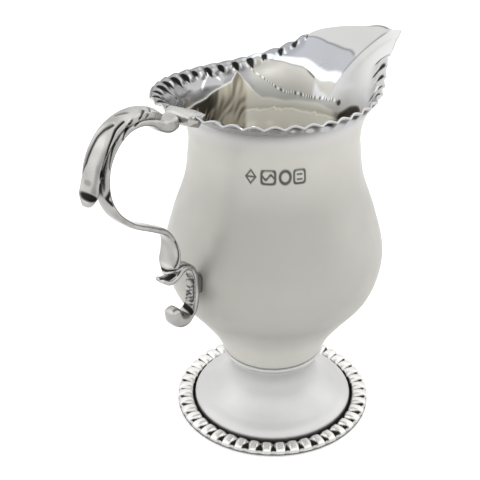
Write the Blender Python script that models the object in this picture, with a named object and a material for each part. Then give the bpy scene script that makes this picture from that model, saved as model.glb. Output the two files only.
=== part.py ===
"""A silver cream jug: a raised pear-shaped body with a flared rim and a folded pouring lip, a
pedestal foot with a gadrooned border, and a cast double-scroll handle capped with a leaf.

It stands on z = 0, its lip towards +X, its handle towards -X, the same on both sides of y = 0.
Lengths are in millimetres up to the last step, which makes each mesh in metres. Radii and
outlines are measured from the jug's own axis, which stands at AXIS_X.
"""

import math

import bmesh
import bpy
import numpy as np

MM = 0.001
GAP = 0.3  # between pieces that touch

HANDLE_REACH = 65.4  # from the jug's axis back to the tip of the leaf
LIP_REACH = 54.0  # from the axis forward to the lip
AXIS_X = (HANDLE_REACH - LIP_REACH) / 2  # puts the whole jug's middle at x = 0

FOOT_RADIUS = 29.0
GADROONS = 44
NECK_RADIUS = 22.9
NECK_HEIGHT = 86.0
BODY_WALL = 0.6
FOOT_WALL = 0.6
COLLAR_RADII = (12.2, 14.9)
COLLAR_HEIGHTS = (18.6, 19.7)
LIP_ANGLE = math.radians(25)  # half the angle that the lip takes of the rim
VALLEY_DEPTH = 1.6  # of the fold down the middle of the lip
EDGE_RISE = 3.2  # how far the flare still climbs near an upright rim

# Outer radius and height of the body, from its seat on the collar up to the neck.
BOWL = ((14.6, 20.0), (17.4, 26.0), (22.8, 34.0), (28.5, 42.0), (30.7, 52.0), (28.1, 64.0),
        (24.1, 76.0), (NECK_RADIUS, NECK_HEIGHT))

# Half of the rim's edge from behind the handle to the tip of the lip: x, y and height.
RIM = ((-34.2, 0.0, 101.7), (-29.8, 15.6, 101.1), (-16.2, 25.2, 99.9), (0.0, 27.3, 98.7),
       (15.0, 23.7, 98.4), (25.2, 17.9, 100.2), (30.4, 14.8, 102.2), (34.2, 13.4, 103.4),
       (41.0, 10.1, 103.8), (48.9, 6.1, 102.9), (53.6, 2.8, 102.4), (LIP_REACH, 0.0, 101.7))

# Outer radius and height of the pedestal, from its top to the outer edge of its flange.
PEDESTAL = ((14.2, 18.0), (13.1, 15.4), (13.0, 13.0), (13.9, 10.0), (16.2, 7.0), (19.6, 4.6),
            (22.4, 3.2), (23.4, 2.4), (23.7, FOOT_WALL), (24.4, FOOT_WALL),
            (FOOT_RADIUS, FOOT_WALL))

# Outer radius and height of the border on the flange, round from its inner lower corner.
BORDER_BOTTOM = FOOT_WALL + GAP
BORDER = ((24.4, BORDER_BOTTOM), (28.5, BORDER_BOTTOM), (28.8, 1.2), (28.0, 1.9), (26.6, 2.3),
          (24.9, 1.9))
BORDER_NOTCH = 0.4  # depth of the cut between two gadroons
BORDER_NOTCHED_ROWS = (3, 4, 5)

# Each path of the handle: x, height, half its width and half its thickness.
SCROLL = ((-37.3, 101.9, 2.4, 1.9), (-38.9, 101.8, 2.6, 2.1), (-41.4, 102.3, 2.3, 1.6),
          (-44.2, 103.9, 2.3, 1.1), (-48.4, 105.1, 2.3, 1.0), (-52.6, 104.5, 2.3, 1.0),
          (-56.2, 102.0, 2.3, 1.0), (-58.6, 98.4, 2.3, 1.0), (-59.5, 94.5, 2.3, 1.0),
          (-59.3, 90.5, 2.3, 0.9), (-57.3, 85.7, 2.3, 0.9), (-53.3, 81.4, 2.2, 0.8),
          (-45.4, 76.6, 2.1, 0.8), (-42.0, 74.4, 2.2, 0.8), (-40.2, 71.2, 2.4, 0.8),
          (-39.8, 68.0, 2.6, 0.8), (-40.5, 64.9, 2.7, 0.8), (-41.9, 62.4, 2.1, 0.6))
LEAF = ((-41.6, 104.8, 1.5, 0.6), (-44.5, 106.5, 2.2, 1.0), (-48.4, 107.4, 2.5, 1.0),
        (-53.4, 106.8, 2.6, 1.1), (-58.0, 104.0, 2.7, 1.1), (-61.0, 100.0, 2.7, 1.1),
        (-62.5, 95.8, 2.6, 1.1), (-63.6, 92.6, 2.2, 1.2), (-64.4, 90.2, 1.6, 0.9))
TAIL = ((-43.7, 61.3, 1.7, 0.6), (-42.1, 60.3, 2.1, 0.8), (-39.6, 60.5, 2.1, 0.8),
        (-36.6, 61.9, 2.1, 0.8), (-34.3, 61.2, 2.1, 0.8), (-33.0, 58.7, 2.1, 0.8),
        (-32.6, 55.2, 2.1, 0.8), (-32.8, 51.4, 2.1, 0.8), (-34.0, 48.2, 2.2, 1.0),
        (-36.6, 46.6, 2.3, 1.3), (-39.2, 47.5, 2.4, 1.4), (-40.1, 50.0, 2.2, 1.1))

SADDLE_HALF_WIDTH = 4.0  # along the rim, each way from the handle
BACK_CURVE = (0.019, 0.0035)  # how the rim behind moves in and sinks, times the width squared
SADDLE_WALL = 1.0
SADDLE_INSIDE = 4.6  # how far it reaches down the inside of the rim
SADDLE_OUTSIDE = 2.8  # and the outside
SADDLE_OVERHANG = 0.4  # how far past the rim its fold is centred
PAD_HEIGHTS = (51.5, 57.5)
PAD_HALF_WIDTH = 2.1
PAD_GAP = 0.2


def smooth(points, steps):
    """A curve through the points, each a row of numbers, with so many steps between two."""
    points = np.array(points, float)
    spans = np.linalg.norm(np.diff(points, axis=0), axis=1)
    slopes = np.gradient(points, np.concatenate([[0], np.cumsum(spans)]), axis=0)
    rows = [points[0]]
    for i, span in enumerate(spans):
        for t in np.arange(1, steps + 1) / steps:
            start = (1 + 2 * t) * points[i] + t * span * slopes[i]
            end = (3 - 2 * t) * points[i + 1] - (1 - t) * span * slopes[i + 1]
            rows.append((1 - t) ** 2 * start + t * t * end)
    return np.array(rows)


def silver(name, roughness):
    material = bpy.data.materials.new(name)
    material.use_nodes = True
    shader = material.node_tree.nodes["Principled BSDF"]
    shader.inputs["Base Color"].default_value = (0.80, 0.79, 0.77, 1.0)
    shader.inputs["Metallic"].default_value = 1.0
    shader.inputs["Roughness"].default_value = roughness
    return material


def add_object(name, points, faces, roughness, wall=None):
    """A smooth-shaded object of these faces, from points in millimetres about the jug's axis.

    With a wall it is an open skin whose faces point out, thickened inwards."""
    mesh = bpy.data.meshes.new(name)
    mesh.from_pydata([((x + AXIS_X) * MM, y * MM, z * MM) for x, y, z in points], [], faces)
    mesh.materials.append(silver(name, roughness))
    obj = bpy.data.objects.new(name, mesh)
    bpy.context.scene.collection.objects.link(obj)
    if wall:
        solidify = obj.modifiers.new("wall", "SOLIDIFY")
        solidify.thickness = wall * MM
        solidify.offset = -1
        solidify.use_even_offset = True
    else:
        edit = bmesh.new()
        edit.from_mesh(mesh)
        bmesh.ops.recalc_face_normals(edit, faces=edit.faces)
        edit.to_mesh(mesh)
        edit.free()
    mesh.shade_smooth()
    mesh.set_sharp_from_angle(angle=math.radians(40))


def strip_faces(rows, columns, close_rows=False):
    """Quads of a grid whose columns close on themselves, and whose rows do too if asked."""
    return [
        (i * columns + j, (i + 1) % rows * columns + j,
         (i + 1) % rows * columns + (j + 1) % columns, i * columns + (j + 1) % columns)
        for i in range(rows if close_rows else rows - 1) for j in range(columns)
    ]


def turned(name, profile, sides, roughness, wall=None):
    """A ring of this closed profile about the jug's axis, or a skin of it with this wall."""
    points = [
        (r * math.cos(math.tau * k / sides), r * math.sin(math.tau * k / sides), z)
        for r, z in profile for k in range(sides)
    ]
    faces = strip_faces(len(profile), sides, close_rows=wall is None)
    add_object(name, points, faces, roughness, wall)


def swept(name, path, roughness, squareness, sides=12):
    """A bar along a path in the plane y = 0, with the half width and half thickness of its rows."""
    slopes = np.gradient(path[:, :2], axis=0)
    points = []
    for (x, z, width, thickness), (dx, dz) in zip(path, slopes):
        along = math.hypot(dx, dz)
        for k in range(sides):
            across, out = (
                math.copysign(abs(value) ** squareness, value)
                for value in (math.cos(math.tau * k / sides), math.sin(math.tau * k / sides))
            )
            depth = out * thickness / along
            points.append((x + depth * dz, across * width, z - depth * dx))
    ends = [tuple(range(sides)), tuple(range(len(points) - sides, len(points)))]
    add_object(name, points, strip_faces(len(path), sides) + ends, roughness)


def rim_edge(steps):
    """The whole edge of the rim as a closed row of points, folded at the tip of the lip."""
    x, y, z = RIM[1]
    half = smooth(((x, -y, z),) + RIM, steps)[steps:]
    return np.concatenate([half, half[-2:0:-1] * (1, -1, 1)])


def flare(edge, t):
    """Radius and height at t, 0 at the neck and 1 at the rim, of the flare up to an edge point."""
    x, y, top = edge
    reach = math.hypot(x, y)
    spread = reach - NECK_RADIUS
    rise = EDGE_RISE * (1 - spread / (LIP_REACH - NECK_RADIUS))
    radii = (NECK_RADIUS, NECK_RADIUS, NECK_RADIUS + 0.42 * spread, reach)
    heights = (NECK_HEIGHT, NECK_HEIGHT + 0.55 * (top - NECK_HEIGHT), top - rise, top)
    weights = ((1 - t) ** 3, 3 * t * (1 - t) ** 2, 3 * t * t * (1 - t), t**3)
    fold = max(0.0, 1 - abs(math.atan2(y, x)) / LIP_ANGLE)
    sag = VALLEY_DEPTH * fold * 4 * t * (1 - t)
    return np.dot(radii, weights), np.dot(heights, weights) - sag


def jug_body():
    """The raised vessel: bowl, neck, flared rim and lip in one sheet, open at the top."""
    edge = rim_edge(steps=2)
    turns = [math.atan2(y, x) for x, y, _ in edge]
    points = [
        (r * math.cos(turn), r * math.sin(turn), z)
        for r, z in smooth(BOWL, steps=2) for turn in turns
    ]
    for t in np.arange(1, 7) / 6:
        for turn, corner in zip(turns, edge):
            r, z = flare(corner, t)
            points.append((r * math.cos(turn), r * math.sin(turn), z))
    faces = strip_faces(len(points) // len(edge), len(edge))
    faces.append(tuple(range(len(edge))))
    add_object("jug_body", points, faces, 0.18, BODY_WALL)


def pedestal_foot():
    """The hollow trumpet foot with its flat flange, open below and at its top."""
    turned("pedestal_foot", PEDESTAL, 56, 0.2, FOOT_WALL)


def stem_collar():
    """The half-round ring that covers the seam between body and pedestal."""
    inner, outer = COLLAR_RADII
    low, high = COLLAR_HEIGHTS
    half = (high - low) / 2
    round_side = [
        (outer - half + half * math.cos(a), low + half + half * math.sin(a))
        for a in np.linspace(-math.pi / 2, math.pi / 2, 5)
    ]
    turned("stem_collar", round_side + [(inner, high), (inner, low)], 56, 0.2)


def foot_border():
    """The gadrooned wire on the flange: a flat-bottomed ring, notched between its lobes."""
    sides = 3 * GADROONS
    points = []
    for row, (r, z) in enumerate(BORDER):
        for k in range(sides):
            notch = BORDER_NOTCH if row in BORDER_NOTCHED_ROWS and k % 3 == 0 else 0.0
            turn = math.tau * k / sides
            points.append((r * math.cos(turn), r * math.sin(turn), z - notch))
    add_object("foot_border", points, strip_faces(len(BORDER), sides, True), 0.25)


def rim_saddle():
    """The end plate of the handle, folded over the rim behind and soldered to it."""
    sheet = BODY_WALL / 2
    clearance = sheet + GAP + SADDLE_WALL / 2
    turns = np.linspace(math.pi / 2, -math.pi / 2, 7)
    centre = [(-SADDLE_INSIDE, clearance)]
    centre += [
        (SADDLE_OVERHANG + clearance * math.cos(a), clearance * math.sin(a)) for a in turns
    ]
    centre.append((-SADDLE_OUTSIDE, -clearance))
    centre = np.array(centre)
    slopes = np.gradient(centre, axis=0)
    normals = np.stack([-slopes[:, 1], slopes[:, 0]], 1)
    normals *= SADDLE_WALL / 2 / np.linalg.norm(normals, axis=1)[:, None]
    section = np.concatenate([centre + normals, (centre - normals)[::-1]])
    stations = 7
    points = []
    back_x, _, back_z = RIM[0]
    moves_in, sinks = BACK_CURVE
    for y in np.linspace(-SADDLE_HALF_WIDTH, SADDLE_HALF_WIDTH, stations):
        edge = (back_x + moves_in * y * y, y, back_z - sinks * y * y)
        (near, low), (far, top) = flare(edge, 0.8), flare(edge, 1)
        slope = math.atan2(top - low, far - near)
        turn = math.atan2(y, edge[0])
        for out, up in section:
            r = far + out * math.cos(slope) - (up + sheet) * math.sin(slope)
            z = top + out * math.sin(slope) + (up + sheet) * math.cos(slope)
            points.append((r * math.cos(turn), r * math.sin(turn), z))
    columns = len(section)
    ends = [tuple(range(columns)), tuple(range(len(points) - columns, len(points)))]
    add_object("rim_saddle", points, strip_faces(stations, columns) + ends, 0.22)


def bowl_pad():
    """The small soldering pad between the tail scroll and the bowl."""
    profile = smooth(BOWL, steps=8)
    tail_face = max(x + half_thickness for x, _, _, half_thickness in TAIL)
    points = []
    for z in np.linspace(*PAD_HEIGHTS, 3):
        radius = np.interp(z, profile[:, 1], profile[:, 0]) + PAD_GAP
        for y in np.linspace(-PAD_HALF_WIDTH, PAD_HALF_WIDTH, 3):
            points.append((-math.sqrt(radius * radius - y * y), y, z))
        for y in (PAD_HALF_WIDTH, -PAD_HALF_WIDTH):
            points.append((tail_face + PAD_GAP, y, z))
    ends = [tuple(range(5)), tuple(range(10, 15))]
    add_object("bowl_pad", points, strip_faces(3, 5) + ends, 0.3)


for old in list(bpy.data.objects):
    bpy.data.objects.remove(old)

jug_body()
stem_collar()
pedestal_foot()
foot_border()
rim_saddle()
swept("handle_scroll", smooth(SCROLL, steps=2), 0.2, squareness=0.7)
swept("leaf_cap", smooth(LEAF, steps=3), 0.22, squareness=0.9)
swept("tail_scroll", smooth(TAIL, steps=3), 0.22, squareness=0.6)
bowl_pad()
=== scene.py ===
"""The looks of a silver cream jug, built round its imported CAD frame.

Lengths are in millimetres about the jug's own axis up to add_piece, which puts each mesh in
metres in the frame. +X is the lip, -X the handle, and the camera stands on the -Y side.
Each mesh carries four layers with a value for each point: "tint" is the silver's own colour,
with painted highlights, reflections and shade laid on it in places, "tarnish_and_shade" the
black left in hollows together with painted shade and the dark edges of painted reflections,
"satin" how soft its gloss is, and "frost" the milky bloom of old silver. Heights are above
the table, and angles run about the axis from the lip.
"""

import math

import bpy
import numpy as np
from mathutils import Matrix, Vector


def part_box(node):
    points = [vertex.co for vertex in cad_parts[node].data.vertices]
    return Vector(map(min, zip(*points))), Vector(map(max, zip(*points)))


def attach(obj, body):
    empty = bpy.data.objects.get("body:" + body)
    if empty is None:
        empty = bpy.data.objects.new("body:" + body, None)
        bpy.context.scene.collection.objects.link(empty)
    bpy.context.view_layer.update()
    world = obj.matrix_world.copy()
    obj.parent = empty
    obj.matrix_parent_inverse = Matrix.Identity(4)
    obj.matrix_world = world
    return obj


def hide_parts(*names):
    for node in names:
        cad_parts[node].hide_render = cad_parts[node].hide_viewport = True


MM = 0.001
AXIS_X = 5.7
LIP_REACH = 54.0
FOOT_WALL = 0.6
GAP = 0.3
GADROONS = 44
NECK_RADIUS = 22.9
NECK_HEIGHT = 86.0
BODY_WALL = 0.6
COLLAR_RADII = (12.2, 14.9)
COLLAR_HEIGHTS = (18.6, 19.7)
LIP_ANGLE = math.radians(25)
VALLEY_DEPTH = 1.6
EDGE_RISE = 3.2

BOWL = ((14.6, 20.0), (17.4, 26.0), (22.8, 34.0), (28.5, 42.0), (30.7, 52.0), (28.1, 64.0),
        (24.1, 76.0), (NECK_RADIUS, NECK_HEIGHT))
RIM = ((-34.2, 0.0, 101.7), (-29.8, 15.6, 101.1), (-16.2, 25.2, 99.9), (0.0, 27.3, 98.7),
       (15.0, 23.7, 98.4), (25.2, 17.9, 100.2), (30.4, 14.8, 102.2), (34.2, 13.4, 103.4),
       (41.0, 10.1, 103.8), (48.9, 6.1, 102.9), (53.6, 2.8, 102.4), (LIP_REACH, 0.0, 101.7))
PEDESTAL = ((14.2, 18.0), (13.1, 15.4), (13.0, 13.0), (13.9, 10.0), (16.2, 7.0), (19.6, 4.6),
            (22.4, 3.2), (23.4, 2.4), (23.7, FOOT_WALL))
SCROLL = ((-37.3, 101.9, 2.4, 1.9), (-38.9, 101.8, 2.6, 2.1), (-41.4, 102.3, 2.3, 1.6),
          (-44.2, 103.9, 2.3, 1.1), (-48.4, 105.1, 2.3, 1.0), (-52.6, 104.5, 2.3, 1.0),
          (-56.2, 102.0, 2.3, 1.0), (-58.6, 98.4, 2.3, 1.0), (-59.5, 94.5, 2.3, 1.0),
          (-59.3, 90.5, 2.3, 0.9), (-57.3, 85.7, 2.3, 0.9), (-53.3, 81.4, 2.2, 0.8),
          (-45.4, 76.6, 2.1, 0.8), (-42.0, 74.4, 2.2, 0.8), (-40.2, 71.2, 2.4, 0.8),
          (-39.8, 68.0, 2.6, 0.8), (-40.5, 64.9, 2.7, 0.8), (-41.9, 62.4, 2.1, 0.6))
LEAF = ((-41.6, 104.8, 1.5, 0.6), (-44.5, 106.5, 2.2, 1.0), (-48.4, 107.4, 2.5, 1.0),
        (-53.4, 106.8, 2.6, 1.1), (-58.0, 104.0, 2.7, 1.1), (-61.0, 100.0, 2.7, 1.1),
        (-62.5, 95.8, 2.6, 1.1), (-63.6, 92.6, 2.2, 1.2), (-64.4, 90.2, 1.6, 0.9))
TAIL = ((-43.7, 61.3, 1.7, 0.6), (-42.1, 60.3, 2.1, 0.8), (-39.6, 60.5, 2.1, 0.8),
        (-36.6, 61.9, 2.1, 0.8), (-34.3, 61.2, 2.1, 0.8), (-33.0, 58.7, 2.1, 0.8),
        (-32.6, 55.2, 2.1, 0.8), (-32.8, 51.4, 2.1, 0.8), (-34.0, 48.2, 2.2, 1.0),
        (-36.6, 46.6, 2.3, 1.3), (-39.2, 47.5, 2.4, 1.4), (-40.1, 50.0, 2.2, 1.1))
PAD_SOFTNESS = 0.45
PAD_SHARE = (1, 0.75, 0.9)  # of the CAD block, which stands behind the tail
SADDLE_HALF_WIDTH = 4.0
SADDLE_WALL = 1.0
SADDLE_PLAY = 0.4  # from the rim's edge to the middle of the fold
SADDLE_INSIDE = 4.6
SADDLE_OUTSIDE = 2.8

BEAD_PITCH = 4.97
BEADED_LENGTH = 86.0  # of the rim's edge, from the middle of the back to where the lip starts
BEAD_COLUMNS = 20
LIP_COLUMNS = 90
BEAD_HEIGHT = 0.65
MARK_ROWS, FLARE_ROWS, BEAD_ROWS = 25, 40, 34
FLOOR_SHARES = (0.02, 0.35, 0.7, 0.92)

NOISE_SPAN = (0.3, 0.7)
# Roughness where the black of patina and of painted shade lies.
TARNISH_AND_SHADE_ROUGHNESS = 0.6
FROST_METALLIC, FROST_SPECULAR = 0.15, 0.25

# Colours of the silver, and of the painted highlights, reflections and shade laid on it.
CLOUD = (0.95, 0.95, 0.94, 1)
BLACK = (0.012, 0.011, 0.010, 1)
BODY_TINT = (0.355, 0.347, 0.323)
LIP_TINT = (0.40, 0.40, 0.405)
FOOT_TINT = (0.475, 0.475, 0.471)
# Painted highlight: the flange's outer edge is painted near white over the shade that falls there.
FLANGE_EDGE_HIGHLIGHT = (0.95, 0.95, 0.94)
# The gadrooned border is painted lighter than the foot, a painted highlight on its lobes.
BORDER_HIGHLIGHT_TINT = (0.60, 0.595, 0.58)
CAST_TINT = (0.375, 0.37, 0.358)
# Painted reflections on the far half of the lip, and its near half painted lighter.
BEIGE_REFLECTION = (0.43, 0.42, 0.39)
BLUISH_REFLECTION = (0.30, 0.308, 0.33)
WHITE_REFLECTION = (0.72, 0.77, 0.82)
PALE_SIDE_REFLECTION = (0.62, 0.62, 0.64)
LIP_TOP_REFLECTION = (0.385, 0.385, 0.38)
LIT_NEAR_LIP = (0.475, 0.475, 0.472)
# A painted reflection of the beaded rim: its light dashes, and the zone below them.
DASH_REFLECTION = (0.80, 0.81, 0.82)
BELOW_DASHES_REFLECTION = (0.44, 0.44, 0.42)
# Painted highlight in a zigzag on the back of the flare.
ZIGZAG_HIGHLIGHT = (0.95, 0.95, 0.95)
# Painted highlight along the neck's edge.
NECK_HIGHLIGHT = (0.80, 0.80, 0.77)
# Painted highlight beside each bead.
BEAD_HIGHLIGHT = (0.85, 0.86, 0.87)
# Inside the bowl: cream where light falls, a painted highlight line and patches, painted streaky
# reflections, and brown painted shade with some patina.
CREAM_EDGE, CREAM = (0.62, 0.60, 0.53), (0.84, 0.815, 0.735)
CREAM_HIGHLIGHT_LINE, CREAM_HIGHLIGHT_PATCH = (1.0, 0.98, 0.85), (1.0, 0.97, 0.88)
FOLD_REFLECTION_DARK, FOLD_REFLECTION_LIGHT = (0.19, 0.17, 0.13), (0.50, 0.465, 0.38)
BROWN_PATINA_SHADE_DARK, BROWN_PATINA_SHADE_LIGHT = (0.018, 0.015, 0.009), (0.20, 0.175, 0.125)
DEEP_INSIDE = (0.50, 0.48, 0.42)

# Lines on the lining that bound its painted reflections, highlights and shade, through (azimuth
# in degrees, t from the neck to the rim) points.
SHEEN_TOP = ((26, 1.0), (18, 0.83), (14, 0.75), (9.5, 0.71), (5, 0.67), (1.5, 0.63))
SHEEN_LOW = ((50, 0.9), (30, 0.57), (18, 0.40), (13, 0.34), (8, 0.31), (0, 0.33))
VALLEY_SIDE = ((13, 0.34), (7.5, 0.24), (0.5, 0.2))
BEAD_ECHO = ((56, 0.72), (53, 0.57), (45, 0.37), (38, 0.23), (29, 0.17), (18, 0.135), (7, 0.13),
             (-5, 0.165), (-11, 0.14))
ZIGZAG = ((97, 0.50), (86, 0.81), (79, 0.60))
NECK_EDGE = ((130, 0.36), (120, 0.34), (95, 0.30), (84, 0.40), (71, 0.50), (65, 0.72),
             (61, 0.47), (54, 0.2), (49, 0.1), (32, 0.065), (18, 0.07), (0, 0.06), (-12, 0.03))
STAR = (-11, 0.14)

MARK_ANGLES = (205.5, 216.5, 227.0, 236.0)
MARK_HEIGHT, MARK_BOTTOM, MARK_TOP = 84.6, 82.0, NECK_HEIGHT
MARK_DEPTH = 0.12

TURNED_SIDES = 240
FLANGE_RADIUS = 28.9
BORDER_MIDDLE, BORDER_HALF_WIDTH, BORDER_HEIGHT = 26.55, 2.35, 1.35
LOBE_COLUMNS = 18
SHADED_SIDE = math.radians(230)  # the side towards the camera, where the border's gaps and inner black are painted widest as shade

# Dark cuts, black with patina in the cast grooves and, along some, painted shadow: how wide in
# millimetres and how dark each is, and its (along, degrees round) points.
SCROLL_CUTS = (
    (0.50, 0.9, ((0.226, 124), (0.26, 172))), (0.50, 0.9, ((0.157, 92), (0.198, 156))),
    (0.40, 0.8, ((0.289, 120), (0.362, 170))),
    (0.95, 1.0, ((0.445, 172), (0.465, 125), (0.488, 168))),
    (0.55, 0.9, ((0.86, 168), (0.92, 152), (0.965, 132))),
    (0.55, 1.0, ((0.99, 20), (0.99, 92), (0.972, 164))),
)
LEAF_CUTS = (
    (0.45, 0.8, ((0.26, 40), (0.41, 32))),
    (0.45, 0.9, ((0.435, 98), (0.483, 82), (0.543, 70), (0.638, 66), (0.716, 62), (0.811, 28))),
    (0.55, 1.0, ((0.381, 130), (0.455, 128), (0.524, 146), (0.60, 160), (0.663, 170),
                 (0.733, 176), (0.85, 206))),
    (0.60, 0.9, ((0.33, 166), (0.387, 208))), (0.55, 0.9, ((0.192, 122), (0.26, 186))),
    (0.45, 0.8, ((0.172, 176), (0.185, 196))), (0.45, 0.7, ((0.12, 100), (0.15, 150))),
    (0.40, 0.6, ((0.30, 95), (0.36, 70))),
)
# On the tail, the first cut is painted shade in the hollow before the knob and the second a painted
# shadow line.
TAIL_CUTS = (
    (1.3, 1.0, ((0.718, 26), (0.742, 92), (0.765, 140))),
    (0.45, 0.8, ((0.456, 108), (0.646, 108))),
    (1.0, 1.0, ((0.01, 262), (0.14, 262))), (0.5, 0.9, ((0.20, 270), (0.30, 240))),
)
SCROLL_SIDES, LEAF_SIDES, TAIL_SIDES = 56, 96, 56

SIDE_LIGHT, TOP_LIGHT, DIM_QUARTER = 1.1, 1.9, 0.65
DIM_SIDE = (-0.74, -0.67, 0.0)
BEAM_START, BEAM_AIM = (-0.27, -0.30, 0.48), (0.021, 0.017, 0.077)
BEAM_WATTS, BEAM_DEGREES, BEAM_RADIUS = 18.0, 3, 0.03
BANKS = (("left_bank", (-0.75, 0.75, 0.45)), ("right_bank", (0.85, -0.65, 0.45)))
BANK_WATTS, BANK_SIDE, BANK_AIM = 3.4, 1.2, (0, 0, 0.05)
FLOOR_REACH = 3.0

CAMERA = (-178.0, -153.4, 188.1)
HEADING, PITCH, ROLL = 42.11, 29.22, -0.67
LENS = 72.9


def smooth(points, steps):
    """A curve through the points, each a row of numbers, with so many steps between two."""
    points = np.array(points, float)
    spans = np.linalg.norm(np.diff(points, axis=0), axis=1)
    slopes = np.gradient(points, np.concatenate([[0], np.cumsum(spans)]), axis=0)
    rows = [points[0]]
    for i, span in enumerate(spans):
        for t in np.arange(1, steps + 1) / steps:
            start = (1 + 2 * t) * points[i] + t * span * slopes[i]
            end = (3 - 2 * t) * points[i + 1] - (1 - t) * span * slopes[i + 1]
            rows.append((1 - t) ** 2 * start + t * t * end)
    return np.array(rows)


def ease(value, low, high):
    """0 below low, 1 above high and a smooth step between them; low may be the larger."""
    t = np.clip((np.asarray(value, float) - low) / (high - low), 0, 1)
    return t * t * (3 - 2 * t)


def ripple(seed, count, *coordinates):
    """A smooth wavy field from -1 to 1 or so: sines of mixed directions and lengths."""
    random = np.random.default_rng(seed)
    total = 0
    for _ in range(count):
        phase = random.uniform(0, math.tau)
        angle = sum(random.normal() * c for c in coordinates) + phase
        total = total + np.sin(angle)
    return total / math.sqrt(count)


def ridge(distance, width):
    """1 on a line, fading smoothly to 0 on both sides of it."""
    return np.exp(-((distance / width) ** 2))


def remapped(tree, value, start, end, curve="LINEAR"):
    """A node that takes value from the range start to the range end."""
    made = tree.nodes.new("ShaderNodeMapRange")
    made.interpolation_type = curve
    made.inputs["From Min"].default_value, made.inputs["From Max"].default_value = start
    made.inputs["To Min"].default_value, made.inputs["To Max"].default_value = end
    tree.links.new(value, made.inputs["Value"])
    return made.outputs["Result"]


def computed(tree, operation, first, second):
    """A node that works out first and second, which are outputs of other nodes."""
    made = tree.nodes.new("ShaderNodeMath")
    made.operation = operation
    tree.links.new(first, made.inputs[0])
    tree.links.new(second, made.inputs[1])
    return made.outputs["Value"]


def silver_material(name, gloss, satin, bump, scale):
    """Silver whose colour is "tint", as rough as gloss where "satin" is 0 and as satin where it
    is 1, slightly uneven, black and dull where "tarnish_and_shade" is 1, which is patina in
    hollows and painted shade, and with a milky bloom where "frost" is 1."""
    material = bpy.data.materials.new(name)
    material.use_nodes = True
    tree = material.node_tree
    nodes, links = tree.nodes, tree.links
    shader = nodes["Principled BSDF"]
    place = nodes.new("ShaderNodeTexCoord")

    def painted(layer, output):
        made = nodes.new("ShaderNodeAttribute")
        made.attribute_name = layer
        return made.outputs[output]

    def noise(size, detail):
        made = nodes.new("ShaderNodeTexNoise")
        made.inputs["Scale"].default_value = size
        made.inputs["Detail"].default_value = detail
        links.new(place.outputs["Object"], made.inputs["Vector"])
        return made.outputs["Fac"]

    def mix(kind, low, high, factor, blend="MIX"):
        made = nodes.new("ShaderNodeMix")
        made.data_type = kind
        if kind == "RGBA":
            made.blend_type = blend
        sockets = [x for x in made.inputs if x.enabled]
        for socket, value in zip(sockets[1:], (low, high)):
            if isinstance(value, bpy.types.NodeSocket):
                links.new(value, socket)
            else:
                socket.default_value = value
        if isinstance(factor, bpy.types.NodeSocket):
            links.new(factor, sockets[0])
        else:
            sockets[0].default_value = factor
        return next(x for x in made.outputs if x.enabled)

    tarnish_and_shade = painted("tarnish_and_shade", "Fac")
    cloud = remapped(tree, noise(scale, 3), NOISE_SPAN, (0, 1))
    silver = mix("RGBA", painted("tint", "Color"), CLOUD, cloud, "MULTIPLY")
    links.new(mix("RGBA", silver, BLACK, tarnish_and_shade), shader.inputs["Base Color"])
    rough = mix("FLOAT", gloss, satin, painted("satin", "Fac"))
    wear = remapped(tree, noise(scale * 2.3, 4), NOISE_SPAN, (0.85, 1.2))
    uneven = computed(tree, "MULTIPLY", rough, wear)
    links.new(mix("FLOAT", uneven, TARNISH_AND_SHADE_ROUGHNESS, tarnish_and_shade), shader.inputs["Roughness"])
    relief = nodes.new("ShaderNodeBump")
    relief.inputs["Strength"].default_value = bump
    relief.inputs["Distance"].default_value = 0.1 * MM
    links.new(noise(scale * 6, 5), relief.inputs["Height"])
    links.new(relief.outputs["Normal"], shader.inputs["Normal"])
    metal = mix("FLOAT", 1.0, FROST_METALLIC, painted("frost", "Fac"))
    links.new(metal, shader.inputs["Metallic"])
    shader.inputs["Specular IOR Level"].default_value = FROST_SPECULAR
    return material


def grid_faces(rows, columns, close_rows=False, close_columns=True):
    i = np.arange(rows if close_rows else rows - 1)[:, None]
    j = np.arange(columns if close_columns else columns - 1)[None]
    below, right = (i + 1) % rows, (j + 1) % columns
    corners = (i * columns + j, below * columns + j, below * columns + right,
               i * columns + right)
    return np.stack(np.broadcast_arrays(*corners), -1).reshape(-1, 4).tolist()


def closed_faces(rows, columns):
    """A grid that closes on itself one way, with a face over each open end."""
    first = tuple(range(columns))
    last = tuple(reversed(range((rows - 1) * columns, rows * columns)))
    return grid_faces(rows, columns) + [first, last]


def add_piece(name, points, faces, material, replaced, tint, tarnish_and_shade=0.0, satin=0.0,
              frost=0.0):
    """A smooth piece of these faces that rides on the jug and stands for the replaced nodes."""
    mesh = bpy.data.meshes.new(name)
    points = np.asarray(points, float).reshape(-1, 3)
    mesh.from_pydata(((points + (AXIS_X, 0, 0)) * MM).tolist(), [], faces)
    mesh.materials.append(material)
    mesh.shade_smooth()
    for key, values in (("tarnish_and_shade", tarnish_and_shade), ("satin", satin), ("frost", frost)):
        layer = mesh.attributes.new(key, "FLOAT", "POINT")
        values = np.broadcast_to(np.asarray(values, float).reshape(-1), (len(points),))
        layer.data.foreach_set("value", np.clip(values, 0, 1).astype(np.float32))
    colours = np.ones((len(points), 4), np.float32)
    colours[:, :3] = np.asarray(tint, float).reshape(-1, 3)
    layer = mesh.attributes.new("tint", "FLOAT_COLOR", "POINT")
    layer.data.foreach_set("color", colours.ravel())
    obj = bpy.data.objects.new(name, mesh)
    bpy.context.scene.collection.objects.link(obj)
    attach(obj, "root")
    if replaced:
        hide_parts(replaced)


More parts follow.
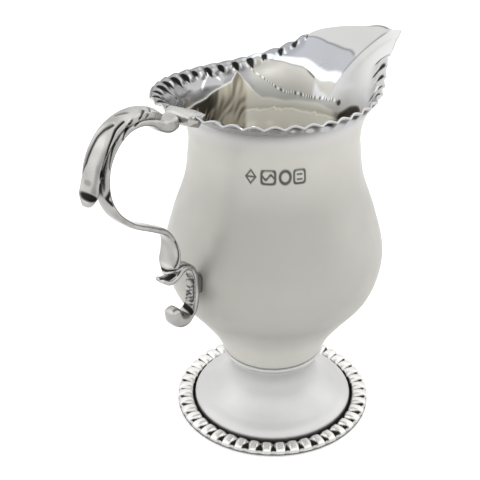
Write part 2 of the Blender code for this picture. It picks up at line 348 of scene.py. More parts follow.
def normals_of(points):
    """Unit normals of a grid of points whose columns close on themselves."""
    along = np.gradient(points, axis=0)
    across = np.roll(points, -1, 1) - np.roll(points, 1, 1)
    normal = np.cross(across, along)
    return normal / np.linalg.norm(normal, axis=-1, keepdims=True)


def rim_columns():
    """Edge points round the whole rim, and how many beads each is from where the lip starts,
    which is below 0 on the lip itself."""
    x, y, z = RIM[1]
    fine = 60
    half = smooth(((x, -y, z),) + RIM, fine)[fine:]
    length = np.concatenate([[0], np.cumsum(np.linalg.norm(np.diff(half, axis=0), axis=1))])
    beaded = round(BEADED_LENGTH / BEAD_PITCH * BEAD_COLUMNS)
    stops = np.concatenate([
        np.linspace(0, BEADED_LENGTH, beaded + 1),
        np.linspace(BEADED_LENGTH, length[-1], LIP_COLUMNS + 1)[1:],
    ])
    edge = np.stack([np.interp(stops, length, half[:, k]) for k in range(3)], 1)
    place = (BEADED_LENGTH - stops) / BEAD_PITCH
    mirrored = edge[-2:0:-1] * (1, -1, 1)
    return np.concatenate([edge, mirrored]), np.concatenate([place, place[-2:0:-1]])


def flare(edge, t):
    """Radius and height at each t, 0 at the neck and 1 at the rim, up to each edge point."""
    x, y, top = edge.T
    t = np.asarray(t)[:, None]
    reach = np.hypot(x, y)
    spread = reach - NECK_RADIUS
    rise = EDGE_RISE * (1 - spread / (LIP_REACH - NECK_RADIUS))
    a, b, c, d = (1 - t) ** 3, 3 * t * (1 - t) ** 2, 3 * t * t * (1 - t), t**3
    fold = np.maximum(0, 1 - np.abs(np.arctan2(y, x)) / LIP_ANGLE)
    r = (a + b) * NECK_RADIUS + c * (NECK_RADIUS + 0.42 * spread) + d * reach
    z = a * NECK_HEIGHT + b * (NECK_HEIGHT + 0.55 * (top - NECK_HEIGHT))
    z = z + c * (top - rise) + d * top - VALLEY_DEPTH * fold * 4 * t * (1 - t)
    return r, z


def blend(low, high, share):
    """A colour for each share from 0 to 1, between two colours or fields of colours."""
    share = np.asarray(share, float)[..., None]
    return np.asarray(low, float) * (1 - share) + np.asarray(high, float) * share


def above(deg, t, line):
    """How far each t is above a line through (degrees, t) points."""
    degrees, heights = zip(*sorted(line))
    return t - np.interp(deg, degrees, heights)


def lip_looks(deg, t, inward, grey):
    """The folded lip's tint, its dark lines, how near it is, and how dull. Its far half is painted
    with reflections: bright on top, then a bluish band, a white one and a beige field; its near
    half is painted evenly lighter. The dark lines are painted too: along the edges of the
    reflections, shade in the crease, and shade along the edge near the tip."""
    near = ease(deg, 0.35, -0.35)
    far = 1 - near
    top, low, side = (above(deg, t, line) for line in (SHEEN_TOP, SHEEN_LOW, VALLEY_SIDE))
    dull = ease(low, 0.02, -0.02) * far
    tint = blend(grey, BEIGE_REFLECTION, dull)
    tint = blend(tint, BLUISH_REFLECTION, ease(low, 0.08, 0.14) * ease(top, 0.01, -0.01) * far)
    tint = blend(tint, WHITE_REFLECTION, ease(low, 0.0, 0.03) * ease(low, 0.14, 0.08) * far)
    tint = blend(tint, PALE_SIDE_REFLECTION, ease(side, 0.0, -0.06) * ease(deg, 13.5, 11) * far)
    tint = blend(tint, LIP_TOP_REFLECTION, ease(top, 0.0, 0.02) * far)
    tint = blend(tint, LIT_NEAR_LIP, near)
    # Painted dark lines: the edges of the painted reflections, shade in the crease, and shade along
    # the edge near the tip.
    lines = [
        0.55 * ridge(top, 0.012) * ease(deg, 1, 2.5) * far,
        ridge(low, 0.011) * far * ease(deg, 12.5, 14) * (0.35 + 0.6 * ease(deg, 20, 17)),
        0.7 * ridge(deg, 0.55) * ease(t, 0.42, 0.5) * ease(t, 0.98, 0.9),
        0.8 * ease(inward, 1.0, 0.6) * ease(deg, 0.8, 1.5) * ease(deg, 7, 5) * (inward > 0.1),
    ]
    return tint, np.max(lines, axis=0), near, dull


def dash_looks(deg, t):
    """How light and how dark a row of little marks above the neck is, and the zone below it: a
    painted reflection of the beaded rim, with a dark spot at one end.
    """
    up = above(deg, t, BEAD_ECHO)
    dash = np.sin(deg * 2.6 + 3 * np.sin(deg / 2.3)) + 0.5 * ripple(33, 5, deg, t * 30)
    reach = ease(deg, -14, -11) * ease(deg, 58, 54)
    row = ridge(up, 0.02) * reach
    star = ridge(deg - STAR[0], 2.3) * ridge(t - STAR[1], 0.035)
    dark = np.maximum(0.9 * row * ease(dash, -0.2, -0.7), 0.95 * ease(star, 0.3, 0.6))
    return row * ease(dash, -0.1, 0.5), dark, ease(up, 0.0, -0.02) * reach


def back_looks(deg, t):
    """A painted highlight in a bright zigzag at the back of the flare, and beside it dark mottling
    and a spot of painted shade.
    """
    zigzag = ridge(above(deg, t, ZIGZAG), 0.035) * ease(deg, 78.5, 80) * ease(deg, 98, 96)
    mottled = ease(ripple(35, 9, deg / 1.8, t * 22), 0.1, 0.9) * ease(deg, 108, 124)
    mottled *= ease(deg, 172, 160) * ease(t, 0.28, 0.36) * ease(t, 0.78, 0.62)
    shade = ridge(deg - 94, 5) * ridge(t - 0.44, 0.05)
    return zigzag, np.maximum(0.45 * mottled, 0.6 * shade)


def bowl_tint(deg, z):
    """Below the neck, painted light and shade: lit cream opposite the camera, with a painted
    highlight line and two painted highlight patches; painted streaky reflections and streaky
    brown that is painted shade with some patina towards the back; clean deep inside."""
    swirl = ripple(13, 8, deg / 7, z / 3)
    streak = ripple(12, 9, deg / 1.3 + z * 1.3 + 1.5 * swirl, z * 0.9 + swirl)
    tint = blend(CREAM_EDGE, CREAM, ease(z, NECK_HEIGHT, 84.0))
    tint = blend(tint, CREAM_HIGHLIGHT_LINE, ridge(z - 84.8 - 0.3 * streak, 0.35))
    highlight_patches = ridge(z - 80.3, 0.9) * (ridge(deg - 57, 3.5) + 0.8 * ridge(deg - 43, 3))
    tint = blend(tint, CREAM_HIGHLIGHT_PATCH, np.clip(highlight_patches * 1.3, 0, 1))
    fold_reflections = blend(FOLD_REFLECTION_DARK, FOLD_REFLECTION_LIGHT, ease(streak, -1.3, 1.1))
    brown = blend(BROWN_PATINA_SHADE_DARK, BROWN_PATINA_SHADE_LIGHT, ease(streak, 0.3, 1.4))
    tint = blend(tint, fold_reflections, ease(deg, 59, 63))
    tint = blend(tint, brown, ease(deg, 74, 94))
    tint = blend(tint, brown, ease(deg, -4, -14) * ease(deg, -75, -45))
    tint = blend(tint, fold_reflections, ease(deg, -60, -90))
    return blend(tint, DEEP_INSIDE, ease(z, 77, 62))


def over_neck(deg, t):
    """How far above the uneven line where the clean flare ends."""
    edge = above(deg, t, NECK_EDGE)
    edge = np.where(np.abs(deg) < 131, edge, t - 0.3)
    return np.where(deg < -12, t - np.interp(deg, (-36, -12), (0.3, 0.03)), edge)


def lining_looks(turn, t, z, inward):
    """Tint, tarnish_and_shade, satin and frost of the inside: clean and grey on the flare and the
    lip, with painted reflections in bands, painted highlights and painted shade, and painted light
    and shade from cream to dark brown below the neck."""
    deg = np.degrees(turn) * np.ones(t.shape)
    t = t + 0.012 * ripple(31, 6, deg / 5, t * 4)
    on_lip = ease(np.abs(deg), 62, 50)
    grey = (0.80 + 0.20 * on_lip)[..., None] * LIP_TINT
    lip, painted_lip_lines, near, dull = lip_looks(deg, t, inward, grey)
    # Painted reflection of the beaded rim: light and dark dashes, and the zone below them.
    light, dark, below = dash_looks(deg, t)
    zigzag, shade = back_looks(deg, t)
    edge = over_neck(deg, t)
    deep = ease(edge, 0.015, -0.015)
    # A painted highlight along the line where the flare ends at the neck.
    neck_highlight = ridge(edge, 0.02) * (0.55 + 0.45 * ease(deg, 66, 70))

    tint = blend(grey, lip, on_lip)
    tint = blend(tint, DASH_REFLECTION, light)
    tint = blend(tint, BELOW_DASHES_REFLECTION, below)
    tint = blend(tint, ZIGZAG_HIGHLIGHT, zigzag)
    tint = blend(tint, bowl_tint(deg, z), deep)
    tint = blend(tint, NECK_HIGHLIGHT, neck_highlight * (1 - 0.7 * ease(deg, 10, -5)))
    tarnish_and_shade = np.max([painted_lip_lines, dark, shade], axis=0)
    satin = np.maximum((0.6 + 0.4 * dull) * on_lip, deep)
    frost = np.maximum((0.45 + 0.45 * dull + 0.5 * near * ease(deg, -60, -30)) * on_lip, deep)
    return tint, tarnish_and_shade, satin, frost


def stamps(turn, z):
    """Depth and blackening of four plain stamped marks in a row below the rim: a lozenge, a
    rounded square with a wave, a ring, and a rounded square with two bars."""
    def at(degrees):
        return (turn - math.radians(degrees) + math.pi) % math.tau - math.pi

    def outline(distance, width):
        return ease(np.abs(distance), width, width * 0.4)

    def square(u, v, half_width, half_height):
        return (np.abs(u / half_width) ** 5 + np.abs(v / half_height) ** 5) ** 0.2 - 1

    v = z - MARK_HEIGHT
    u = [at(degrees) * NECK_RADIUS for degrees in MARK_ANGLES]
    lozenge = np.abs(u[0]) / 1.25 + np.abs(v) / 1.7 - 1
    lines = [outline(lozenge, 0.30), outline(v, 0.35) * (lozenge < 0),
             outline(square(u[1], v, 1.70, 1.75), 0.25),
             outline(v - 0.6 * np.sin(u[1] * 2.5), 0.55) * (square(u[1], v, 1.4, 1.4) < 0),
             outline(np.hypot(u[2] / 1.3, v / 1.65) - 1, 0.38),
             outline(square(u[3], v, 1.4, 1.75), 0.25)]
    for height in (-0.7, 0.6):
        lines.append(outline(v - height, 0.33) * (np.abs(u[3]) < 0.8))
    black = np.max(np.broadcast_arrays(*lines), axis=0)
    return MARK_DEPTH * black, 0.85 * black


def drawn_in(ring, share):
    """The ring at this share of its radius, its heights evening out with it."""
    level = ring[:, 2:].mean()
    return np.concatenate([ring[:, :2] * share, level + (ring[:, 2:] - level) * share**2], 1)


def bead_relief(place, inward):
    """How far the beads stand in from the sheet, and how deep the grooves between them are."""
    beaded = place > 0
    off = np.abs(place % 1 - 0.5) * 2  # 0 at a bead's middle, 1 between two
    bead = beaded * BEAD_HEIGHT * np.cos(np.clip(off, 0, 1) * math.pi / 2) ** 1.6
    bead = bead * ease(np.clip((inward - 1.0) / 2.6, 0, None), 1.15, 0.25)
    return bead, 0.12 * ease(off, 0.6, 1.0) * ease(inward, 4.5, 2.0) * beaded


def bead_looks(turn, place, inward):
    """The black drops between the beads on the lining, patina in the grooves together with painted
    shade, the painted highlight beside each bead, the darker zone round them all, and the black
    in each bead's hollow on the skin, painted shade under each bead with some patina."""
    beaded = place > 0
    number = np.floor(place)
    varied = 1 + 0.18 * np.sin(number * 2.4) + 0.1 * np.sin(number * 5.1)
    side = np.where(turn > 0, 1.0, -1.0)
    lean = np.abs((place + 0.5 + side * 0.06 * inward) % 1 - 0.5) * 2  # 0 in the gap
    long = 3.9 + 1.9 * ease(turn, 1.7, 2.3) + 1.4 * (turn < 0)
    by_lip = ease(place, 5, 3.5) * (turn < 0)
    half_width = (0.40 + 0.16 * by_lip) * varied
    half_width = half_width * ease(inward, -0.6, 1.3) * ease(inward, long * varied, 1.4)
    # The black between the beads is patina in their grooves and painted shade.
    drops = ease(lean, half_width + 0.08, half_width - 0.10) * ease(half_width, 0.02, 0.15)
    drops = drops * beaded * ease(inward, 0.2, 0.6)
    # Painted highlight beside each bead.
    bead_highlight = ease(lean, half_width + 0.10, half_width + 0.2) * ease(lean, 0.75, 0.55)
    bead_highlight = bead_highlight * beaded * ease(inward, 1.2, 1.7) * ease(inward, 3.2, 2.4)
    dull = beaded * ease(inward, 6.5, 3.5)
    under = np.abs((place + 0.12) % 1 - 0.5) * 2
    # Painted shade under each bead on the skin, with some patina.
    behind = ease(under, 0.70, 0.35) * ease(inward, 2.6, 1.6) * beaded
    behind = behind * ease(inward, 0.2, 0.7) * (0.8 + 0.2 * np.sin(number * 3.7))
    return drops, bead_highlight, dull, behind


def body_grid():
    """The outside of the raised sheet as rows from the stem to the rim's edge, how far each row is
    from the neck to the rim, and each column's azimuth and how many beads it is from the lip."""
    edge, place = rim_columns()
    edge[:, :2] *= 1 - BODY_WALL / 2 / np.hypot(edge[:, :1], edge[:, 1:2])  # room to round it
    turn = np.arctan2(edge[:, 1], edge[:, 0])
    bowl = smooth(BOWL, 9)
    heights = np.concatenate([bowl[bowl[:, 1] < MARK_BOTTOM, 1],
                              np.linspace(MARK_BOTTOM, MARK_TOP, MARK_ROWS)])
    bowl = np.stack([np.interp(heights, bowl[:, 1], bowl[:, 0]), heights], 1)
    steps = np.concatenate([np.linspace(0, 0.6, FLARE_ROWS)[1:],
                            np.linspace(0.6, 1, BEAD_ROWS)[1:]])
    up_r, up_z = flare(edge, steps)
    r = np.concatenate([np.repeat(bowl[:, :1], len(turn), 1), up_r])
    z = np.concatenate([np.repeat(bowl[:, 1:], len(turn), 1), up_z])
    sheet = np.stack([r * np.cos(turn), r * np.sin(turn), z], -1)
    t = np.concatenate([(heights - NECK_HEIGHT) / 20, steps])[:, None] * np.ones(len(turn))
    return sheet, t, turn, place


def jug_body(material):
    """The raised sheet: bowl, neck, flare with its punched beads, and the folded lip."""
    outer, t, turn, place = body_grid()
    z = outer[..., 2]
    columns = len(turn)
    normal = normals_of(outer)
    if (normal * outer)[z < NECK_HEIGHT][:, :2].sum() < 0:  # they point in towards the axis
        normal = -normal
    spans = np.linalg.norm(np.diff(outer, axis=0), axis=2)
    inward = np.concatenate([np.cumsum(spans[::-1], 0)[::-1], np.zeros((1, columns))])

    bead, groove = bead_relief(place, inward)
    hammer = 0.03 * ripple(4, 9, outer[..., 0] / 9, outer[..., 1] / 9, z / 12) - 0.06
    hammer *= ease(inward, 3, 12)
    inside_wave = 0.10 * ripple(9, 14, outer[..., 0] / 2.6, outer[..., 1] / 2.6, z / 5)
    inside_wave *= ease(z, 99, 88)
    stamped, marks = stamps(turn, z)
    skin = outer + normal * (hammer - bead + groove - stamped)[..., None]
    lining = outer - normal * (BODY_WALL + bead - groove + inside_wave)[..., None]

    middle = (skin[-1] + lining[-1]) / 2
    half = (skin[-1] - lining[-1]) / 2
    out = outer[-1] - outer[-2]
    out /= np.linalg.norm(out, axis=1)[:, None]
    lip = [
        middle + half * math.sin(a) + out * (BODY_WALL / 2 * math.cos(a))
        for a in (math.pi / 4, 0, -math.pi / 4)
    ]
    floor_out = [drawn_in(skin[0], share) for share in FLOOR_SHARES]
    floor_in = [drawn_in(lining[0], share) + (0, 0, BODY_WALL) for share in FLOOR_SHARES[::-1]]
    points = np.concatenate([floor_out, skin, lip, lining[::-1], floor_in])

    drops, bead_highlight, dull, behind = bead_looks(turn, place, inward)
    inside, lines, inside_satin, inside_frost = lining_looks(turn, t, z, inward)
    # The lining round the beads is darker, and gets a painted highlight beside each bead.
    inside = blend(inside, inside * 0.8, dull)
    inside = blend(inside, BEAD_HIGHLIGHT, bead_highlight * 0.5)
    outside = blend(BODY_TINT, LIP_TINT, ease(z, 90, 97))
    # Painted light: the bowl is painted lighter towards its bottom, and a band below the flare a
    # little lighter.
    outside *= (1 + 0.6 * ease(z, 43, 25))[..., None]
    outside *= (1 + 0.25 * ease(z, 72, 90) * ease(z, 98, 93))[..., None]
    on_floor = np.zeros((len(FLOOR_SHARES), columns))
    on_edge = np.zeros((len(lip), columns))
    tint = np.concatenate([
        np.broadcast_to(BODY_TINT, on_floor.shape + (3,)), outside, outside[-3:],
        inside[::-1], np.broadcast_to(inside[0], on_floor.shape + (3,)),
    ])
    tarnish_and_shade = np.concatenate([
        on_floor, np.maximum(behind, marks), on_edge, np.maximum(drops, lines)[::-1], on_floor
    ])
    satin = np.concatenate([
        on_floor + 1, 1 - ease(z, 96, 99), on_edge, inside_satin[::-1], on_floor + 1
    ])
    frost = np.concatenate([
        on_floor + 0.75, 0.75 * ease(z, 98, 94), on_edge, inside_frost[::-1], on_floor + 1
    ])
    add_piece("jug_body_looks", points, closed_faces(*points.shape[:2]), material,
              "jug_body", tint, tarnish_and_shade, satin, frost)


def around(sides):
    """Angles of so many even steps all the way round."""
    return np.arange(sides) / sides * math.tau


def turned(name, profile, material, node, tarnish_and_shade=0.0):
    """A ring of this closed profile about the jug's axis."""
    sides = TURNED_SIDES
    turn = around(sides)
    profile = np.asarray(profile, float)
    points = np.stack([
        profile[:, :1] * np.cos(turn), profile[:, :1] * np.sin(turn),
        np.repeat(profile[:, 1:], sides, 1),
    ], -1)
    tarnish_and_shade = np.repeat(np.broadcast_to(tarnish_and_shade, (len(profile),)), sides)
    # The flange's outer edge is painted near white, a painted highlight over its shade.
    tint = blend(FOOT_TINT, FLANGE_EDGE_HIGHLIGHT, ease(profile[:, 0], FLANGE_RADIUS - 0.9, FLANGE_RADIUS - 0.1))
    add_piece(name, points, grid_faces(len(profile), sides, True), material,
              node, np.repeat(tint, sides, 0), tarnish_and_shade, 1.0, 0.8)


def pedestal_foot(material):
    dome = smooth(PEDESTAL, 10)
    flange = np.array([(r, FOOT_WALL) for r in (24.4, 26.0, FLANGE_RADIUS)])
    top = np.concatenate([dome, flange])
    slope = np.gradient(top, axis=0)
    away = np.stack([slope[:, 1], -slope[:, 0]], 1)
    away *= FOOT_WALL / np.linalg.norm(away, axis=1)[:, None]
    under = top + away
    under[:, 1] = np.maximum(under[:, 1], 0)
    tarnish_and_shade = ease(top[:, 0], 23.45, 23.7) * (top[:, 1] < 3)
    turned("pedestal_foot_looks", np.concatenate([top, under[::-1]]), material, "pedestal_foot",
           np.concatenate([tarnish_and_shade, 0 * tarnish_and_shade]))


def stem_collar(material):
    inner, outer = COLLAR_RADII
    low, high = COLLAR_HEIGHTS
    half = (high - low) / 2
    ring = [
        (outer - half + half * math.cos(a), low + half + half * math.sin(a))
        for a in np.linspace(-math.pi / 2, math.pi / 2, 13)
    ]
    turned("stem_collar_looks", ring + [(inner, high), (inner, low)], material, "stem_collar")


def foot_border(material):
    """The gadrooned ring: rounded lobes with a black gap between each two, and black along its
    inner edge; the black is patina, painted wider towards the camera as shade.
    """
    sides = GADROONS * LOBE_COLUMNS
    turn = around(sides)
    spot = np.arange(sides) / LOBE_COLUMNS
    off = np.abs(spot % 1 - 0.5) * 2  # 1 between two lobes
    gap = ease(off, 0.45, 1.0)
    crown = np.sqrt(np.clip(1 - (off * 0.85) ** 2, 0, 1))
    random = np.random.default_rng(17)
    size = np.repeat(random.uniform(0.75, 1.3, GADROONS), LOBE_COLUMNS)
    size = np.roll(size, LOBE_COLUMNS // 2)  # one value for each gap
    # Towards the camera the gaps and the inner ring are painted wider, as painted shade.
    front = 0.5 + 0.5 * np.cos(turn - SHADED_SIDE)
    size = size * (0.75 + 0.55 * front)
    bottom = FOOT_WALL + GAP + 0.15
    rows, tarnish_and_shade = [], []
    for a in np.linspace(0, math.pi, 17):
        across, up = math.cos(a), max(0.0, math.sin(a)) ** 0.8
        r = BORDER_MIDDLE + (BORDER_HALF_WIDTH - 0.7 * gap * (across > 0)) * across
        z = bottom + BORDER_HEIGHT * up * (0.3 + 0.7 * crown) * (1 - 0.6 * gap)
        rows.append(np.stack([r * np.cos(turn), r * np.sin(turn), z + 0 * turn], -1))
        width = (0.20 + 0.20 * ease(across, -0.2, 0.8)) * size * ease(across, -0.75, -0.1)
        black = ease(off, 1.02 - width, 1.14 - width) * ease(across, 0.99, 0.85)
        ring = ease(across - 0.35 * front**2 - 0.08 * np.sin(7 * turn) * front, -0.90, -0.99)
        tarnish_and_shade.append(np.maximum(black, ring))
    for r, black in ((BORDER_MIDDLE - BORDER_HALF_WIDTH, 1.0),
                     (BORDER_MIDDLE + BORDER_HALF_WIDTH - 0.05, 0.0)):
        rows.append(np.stack([r * np.cos(turn), r * np.sin(turn), FOOT_WALL + 0 * turn], -1))
        tarnish_and_shade.append(0 * turn + black)
    add_piece("foot_border_looks", np.array(rows), grid_faces(len(rows), sides, True), material,
              "foot_border", BORDER_HIGHLIGHT_TINT, np.array(tarnish_and_shade), 0.8, 0.35)


def swept(path, squareness, sides):
    """Points of a bar along a path in the plane y = 0, their out directions, and (along, across,
    out) coordinates: 0 to 1 along the path, -1 to 1 over its width and its thickness."""
    slopes = np.gradient(path[:, :2], axis=0)
    slopes /= np.linalg.norm(slopes, axis=1)[:, None]
    angle = around(sides)
    across, out = (np.sign(v) * np.abs(v) ** squareness for v in (np.cos(angle), np.sin(angle)))
    width, thick = path[:, 2:3], path[:, 3:4]
    points = np.stack([
        path[:, :1] + out * thick * slopes[:, 1:], across * width,
        path[:, 1:2] - out * thick * slopes[:, :1],
    ], -1)
    outward = np.stack([slopes[:, 1], 0 * slopes[:, 0], -slopes[:, 0]], -1)[:, None, :]
    spans = np.linalg.norm(np.diff(path[:, :2], axis=0), axis=1)
    along = np.concatenate([[0], np.cumsum(spans)]) / spans.sum()
    shape = points.shape[:2]
    return (points, np.broadcast_to(outward, points.shape),
            np.broadcast_to(along[:, None], shape), np.broadcast_to(across, shape),
            np.broadcast_to(out, shape))


def capped(points, cap_rows, bulge):
    """The same bar with its two ends rounded off to a point."""
    ends = []
    for first, second in ((points[0], points[1]), (points[-1], points[-2])):
        centre = first.mean(0)
        push = centre - second.mean(0)
        push /= np.linalg.norm(push)
        reach = bulge * np.linalg.norm(first - centre, axis=1).min()
        rows = []
        for a in np.linspace(0, math.pi / 2, cap_rows + 1)[1:]:
            rows.append(centre + (first - centre) * max(math.cos(a), 0.03)
                        + push * reach * math.sin(a))
        ends.append(rows)
    return np.concatenate([ends[0][::-1], points, ends[1]])


def add_bar(name, points, material, node, tarnish_and_shade, cap_rows=5, bulge=0.5):
    """A cast bar with rounded ends and a slightly worn, uneven colour."""
    full = capped(points, cap_rows, bulge)
    rows, columns = full.shape[:2]
    tarnish_and_shade = np.concatenate([
        np.repeat(tarnish_and_shade[:1], cap_rows, 0), tarnish_and_shade, np.repeat(tarnish_and_shade[-1:], cap_rows, 0)
    ])
    faces = closed_faces(rows, columns)
    worn = 1 + 0.10 * ripple(55, 7, full[..., 0] / 1.7, full[..., 1] / 1.2, full[..., 2] / 1.7)
    tint = np.array(CAST_TINT) * np.clip(worn - 0.1, 0.7, 1.1)[..., None]
    add_piece(name, full, faces, material, node, tint, tarnish_and_shade, 0.5, 0.06)


def cuts(path, along, sides, lines):
    """How dark and how deep each point of a swept bar is cut."""
    length = np.linalg.norm(np.diff(path[:, :2], axis=0), axis=1).sum()
    # Millimetres for each degree round the bar, whose section is about a soft rectangle.
    round_bar = 4.2 * (path[:, 2] + path[:, 3]).mean() / 360
    a = along * length
    b = np.broadcast_to(np.arange(sides) / sides * 360 * round_bar, a.shape)
    dark, deep = np.zeros(a.shape), np.zeros(a.shape)
    for width, strength, knots in lines:
        ends = np.array(knots) * (length, round_bar)
        near = np.full(a.shape, 1e9)
        for (a0, b0), (a1, b1) in zip(ends[:-1], ends[1:]):
            da, db = a1 - a0, b1 - b0
            t = np.clip(((a - a0) * da + (b - b0) * db) / (da * da + db * db), 0, 1)
            near = np.minimum(near, np.hypot(a - a0 - t * da, b - b0 - t * db))
        dark = np.maximum(dark, strength * ease(near, 0.9 * width, 0.4 * width))
        deep = np.maximum(deep, strength * np.exp(-((near / width) ** 2)))
    return dark, deep


def handle_scroll(material):
    path = smooth(SCROLL, 14)
    points, outward, along, across, out = swept(path, 0.7, SCROLL_SIDES)
    # The lower end is a rounded spoon, dished on the side that faces out.
    end = along[:, :1]
    wide = 1 + 0.30 * ease(end, 0.84, 0.92)
    wide = wide * np.sqrt(np.clip(1 - np.clip((end - 0.945) / 0.06, 0, 1) ** 2, 0.05, 1))
    points[..., 1] *= wide
    spoon = ease(along, 0.82, 0.90) * ease(along, 0.985, 0.96)
    hollow = spoon * ease(np.abs(across), 0.9, 0.5)
    points = points - outward * (0.3 * hollow * np.sign(out))[..., None]
    dark, deep = cuts(path, along, SCROLL_SIDES, SCROLL_CUTS)
    points = points - outward * (0.35 * deep * np.sign(out))[..., None]
    # Painted shade on the strap where the leaf lies over it.
    shade_under_leaf = ease(along, 0.18, 0.24) * ease(along, 0.47, 0.44) * (out > 0.6)
    shade_under_leaf *= ease(across, -0.6, -0.3)
    add_bar("handle_scroll_looks", points, material, "handle_scroll",
            np.maximum(dark, shade_under_leaf))


def leaf_cap(material):
    path = smooth(LEAF, 20)
    points, outward, along, _, out = swept(path, 0.8, LEAF_SIDES)
    dark, deep = cuts(path, along, LEAF_SIDES, LEAF_CUTS)
    points = points - outward * (0.5 * deep * np.sign(out))[..., None]
    # Towards the root the leaf lies on the strap.
    root = ease(along, 0.44, 0.30) * ease(-out, -0.2, 0.4)
    points = points - outward * (0.75 * root + 0.02 * out)[..., None]
    points[..., 1] *= 1 + 0.10 * ease(along, 0.1, 0.3) + 0.20 * ease(along, 0.85, 0.95)
    points[..., 1] *= np.sqrt(1 - 0.7 * np.clip((along - 0.92) / 0.08, 0, 1) ** 2)
    angle = np.degrees(around(LEAF_SIDES))
    # A hollow at the leaf's tip, painted black as the shadow in it.
    tip = np.hypot((along - 0.935) / 0.035, (angle - 112) / 85)
    hollow = ease(tip, 1.05, 0.6)
    points = points - outward * (0.45 * hollow)[..., None]
    # A dark patch on the leaf near its tip.
    dark_patch = 0.35 * ease(np.hypot((along - 0.84) / 0.03, (angle - 95) / 30), 1.0, 0.3)
    add_bar("leaf_cap_looks", points, material, "leaf_cap",
            np.maximum(np.maximum(dark, hollow), dark_patch), 8, 0.35)


def tail_scroll(material):
    path = smooth(TAIL, 16)
    points, outward, along, across, out = swept(path, 0.6, TAIL_SIDES)
    pits = ripple(21, 14, along * 150, across * 5, out * 3)
    face = ease(along, 0.36, 0.44) * ease(along, 0.74, 0.70) * (out > 0.1)
    pitted = ease(pits, -0.2, 0.5) * face * ease(across, -0.75, -0.4)
    dark, deep = cuts(path, along, TAIL_SIDES, TAIL_CUTS)
    knob = ease(along, 0.78, 0.84)
    points = points + outward * (0.5 * knob * out)[..., None]
    points = points - outward * ((0.25 * pitted + 0.3 * deep) * np.sign(out))[..., None]
    add_bar("tail_scroll_looks", points, material, "tail_scroll",
            np.maximum(0.85 * pitted, dark), 8, 0.8)


def bowl_pad(material):
    """The small soft-cornered block that holds the tail off the bowl, painted dark as the shadow
    beside the tail.
    """
    low, high = (np.array(corner) / MM - (AXIS_X, 0, 0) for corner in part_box("bowl_pad"))
    stations, sides = 25, 48
    lean = np.linspace(-math.pi / 2, math.pi / 2, stations + 2)[1:-1, None]
    turn = around(sides)

    def soft(value):
        return np.sign(value) * np.abs(value) ** PAD_SOFTNESS

    unit = np.stack([soft(np.cos(lean)) * soft(np.cos(turn)),
                     soft(np.cos(lean)) * soft(np.sin(turn)), soft(np.sin(lean)) + 0 * turn], -1)
    points = (low + high) / 2 + unit * (high - low) / 2 * PAD_SHARE
    faces = closed_faces(stations, sides)
    add_piece("bowl_pad_looks", points, faces, material, "bowl_pad",
              np.array(CAST_TINT) * 0.4, 0.3, 1.0, 0.4)


def rim_saddle(material):
    """The end plate of the handle, folded over the rim behind and soldered to it."""
    sheet = BODY_WALL / 2
    clearance = sheet + GAP + SADDLE_WALL / 2
    turns = np.linspace(math.pi / 2, -math.pi / 2, 15)
    centre = [(-s, clearance) for s in np.linspace(SADDLE_INSIDE, 0, 16)[:-1]]
    centre += [(SADDLE_PLAY + clearance * math.cos(a), clearance * math.sin(a)) for a in turns]
    centre += [(-s, -clearance) for s in np.linspace(0, SADDLE_OUTSIDE, 10)[1:]]
    centre = np.array(centre)
    slopes = np.gradient(centre, axis=0)
    normals = np.stack([-slopes[:, 1], slopes[:, 0]], 1)
    normals /= np.linalg.norm(normals, axis=1)[:, None]
    heart = np.array((-1.2, 0.0))
    points = []
    ends = SADDLE_HALF_WIDTH * np.sin(np.linspace(-math.pi / 2, math.pi / 2, 41))
    for y in ends:
        share = abs(y) / SADDLE_HALF_WIDTH
        back = np.array(RIM[0])
        edge = np.array([[back[0] + 0.019 * y * y, y, back[2] - 0.0035 * y * y]])
        (near, far), (low, top) = (v[:, 0] for v in flare(edge, [0.8, 1.0]))
        slope = math.atan2(top - low, far - near)
        turn = math.atan2(y, edge[0, 0])
        thick = SADDLE_WALL / 2 + 0.35 * (1 - share**2)
        section = centre + normals * thick
        round_end = 1 - 0.35 * float(ease(share, 0.93, 1.0))
        section = heart + (section - heart) * round_end
        for out, up in section:
            r = far + out * math.cos(slope) - (up + sheet) * math.sin(slope)
            z = top + out * math.sin(slope) + (up + sheet) * math.cos(slope)
            points.append((r * math.cos(turn), r * math.sin(turn), z))
    stations = len(ends)
    columns = len(centre)
    faces = closed_faces(stations, columns)
    add_piece("rim_saddle_looks", points, faces, material, "rim_saddle",
              CAST_TINT, 0.0, 0.5, 0.06)


def pale_floor():
    material = bpy.data.materials.new("pale_floor")
    material.use_nodes = True
    shader = material.node_tree.nodes["Principled BSDF"]
    shader.inputs["Base Color"].default_value = (0.80, 0.80, 0.80, 1)
    shader.inputs["Roughness"].default_value = 0.9
    shader.inputs["Specular IOR Level"].default_value = 0.1
    mesh = bpy.data.meshes.new("floor")
    corners = [(x * FLOOR_REACH, y * FLOOR_REACH, 0)
               for x, y in ((-1, -1), (1, -1), (1, 1), (-1, 1))]
    mesh.from_pydata(corners, [], [(0, 1, 2, 3)])
    mesh.materials.append(material)
    floor = bpy.data.objects.new("floor", mesh)
    bpy.context.scene.collection.objects.link(floor)


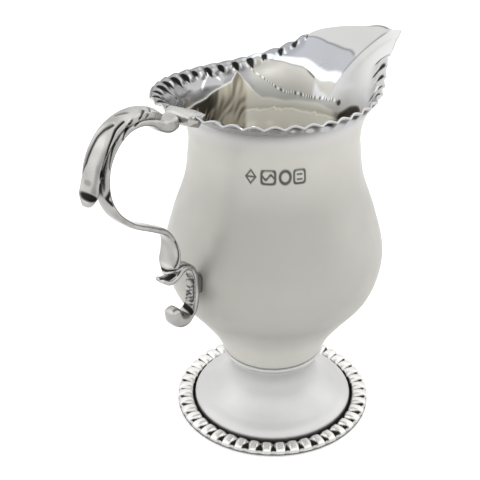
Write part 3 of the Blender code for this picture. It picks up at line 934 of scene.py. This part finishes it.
def studio_walls():
    """Soft light from all round, brightest above. Low down, the quarter behind the camera is a
    little darker."""
    world = bpy.data.worlds.new("studio")
    bpy.context.scene.world = world
    world.use_nodes = True
    tree = world.node_tree
    nodes, links = tree.nodes, tree.links
    place = nodes.new("ShaderNodeTexCoord").outputs["Generated"]
    parts = nodes.new("ShaderNodeSeparateXYZ")
    links.new(place, parts.inputs[0])
    height = parts.outputs["Z"]
    facing = nodes.new("ShaderNodeVectorMath")
    facing.operation = "DOT_PRODUCT"
    facing.inputs[1].default_value = DIM_SIDE
    links.new(place, facing.inputs[0])
    low_down = remapped(tree, height, (0.15, 0.5), (1, 0), "SMOOTHSTEP")
    dim = computed(tree, "MULTIPLY", facing.outputs["Value"], low_down)
    dim = remapped(tree, dim, (0.1, 1), (1, DIM_QUARTER), "SMOOTHSTEP")
    overhead = remapped(tree, height, (0, 1), (SIDE_LIGHT, TOP_LIGHT), "SMOOTHSTEP")
    background = nodes["Background"]
    background.inputs["Color"].default_value = (1, 1, 1, 1)
    links.new(computed(tree, "MULTIPLY", overhead, dim), background.inputs["Strength"])


def add_lamp(light, start, aim):
    """This light at start, shining at aim; both are in metres in the frame."""
    lamp = bpy.data.objects.new(light.name, light)
    bpy.context.scene.collection.objects.link(lamp)
    lamp.location = start
    lamp.rotation_mode = "QUATERNION"
    lamp.rotation_quaternion = (Vector(aim) - Vector(start)).to_track_quat("-Z", "Y")


def studio_lamps():
    """A narrow beam into the jug's mouth, and a softbox on either side."""
    beam = bpy.data.lights.new("mouth_beam", "SPOT")
    beam.energy, beam.shadow_soft_size = BEAM_WATTS, BEAM_RADIUS
    beam.spot_size, beam.spot_blend = math.radians(BEAM_DEGREES), 1.0
    add_lamp(beam, BEAM_START, BEAM_AIM)
    for name, start in BANKS:
        bank = bpy.data.lights.new(name, "AREA")
        bank.energy, bank.size = BANK_WATTS, BANK_SIDE
        add_lamp(bank, start, BANK_AIM)


def camera():
    """The camera, placed and turned as the jug's perspective asks."""
    heading, pitch, roll = (math.radians(v) for v in (HEADING, PITCH, ROLL))
    look = np.array([math.cos(pitch) * math.cos(heading), math.cos(pitch) * math.sin(heading),
                     -math.sin(pitch)])
    level = np.cross(look, (0, 0, 1))
    level /= np.linalg.norm(level)
    upright = np.cross(level, look)
    right = math.cos(roll) * level + math.sin(roll) * upright
    up = -math.sin(roll) * level + math.cos(roll) * upright
    data = bpy.data.cameras.new("camera")
    data.lens = LENS
    data.clip_start = 0.01
    obj = bpy.data.objects.new("camera", data)
    turn = Matrix([right, up, -look]).transposed().to_4x4()
    turn.translation = [v * MM for v in CAMERA]
    obj.matrix_world = turn
    bpy.context.scene.collection.objects.link(obj)
    bpy.context.scene.camera = obj


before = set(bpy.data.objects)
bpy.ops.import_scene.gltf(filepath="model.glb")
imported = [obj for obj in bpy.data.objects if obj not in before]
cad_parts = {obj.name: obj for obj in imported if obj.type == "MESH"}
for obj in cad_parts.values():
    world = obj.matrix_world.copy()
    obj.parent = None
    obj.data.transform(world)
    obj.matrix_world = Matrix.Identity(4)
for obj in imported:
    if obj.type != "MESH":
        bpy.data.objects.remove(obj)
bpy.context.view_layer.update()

body_silver = silver_material("body_silver", 0.13, 0.42, 0.05, 60)
foot_silver = silver_material("foot_silver", 0.2, 0.38, 0.05, 70)
cast_silver = silver_material("cast_silver", 0.2, 0.27, 0.08, 90)
oxidised_silver = silver_material("oxidised_silver", 0.24, 0.27, 0.12, 120)

jug_body(body_silver)
pedestal_foot(foot_silver)
stem_collar(foot_silver)
foot_border(oxidised_silver)
rim_saddle(cast_silver)
handle_scroll(cast_silver)
leaf_cap(oxidised_silver)
tail_scroll(oxidised_silver)
bowl_pad(cast_silver)

pale_floor()
studio_walls()
studio_lamps()
camera()
bpy.context.scene.view_settings.view_transform = "Standard"
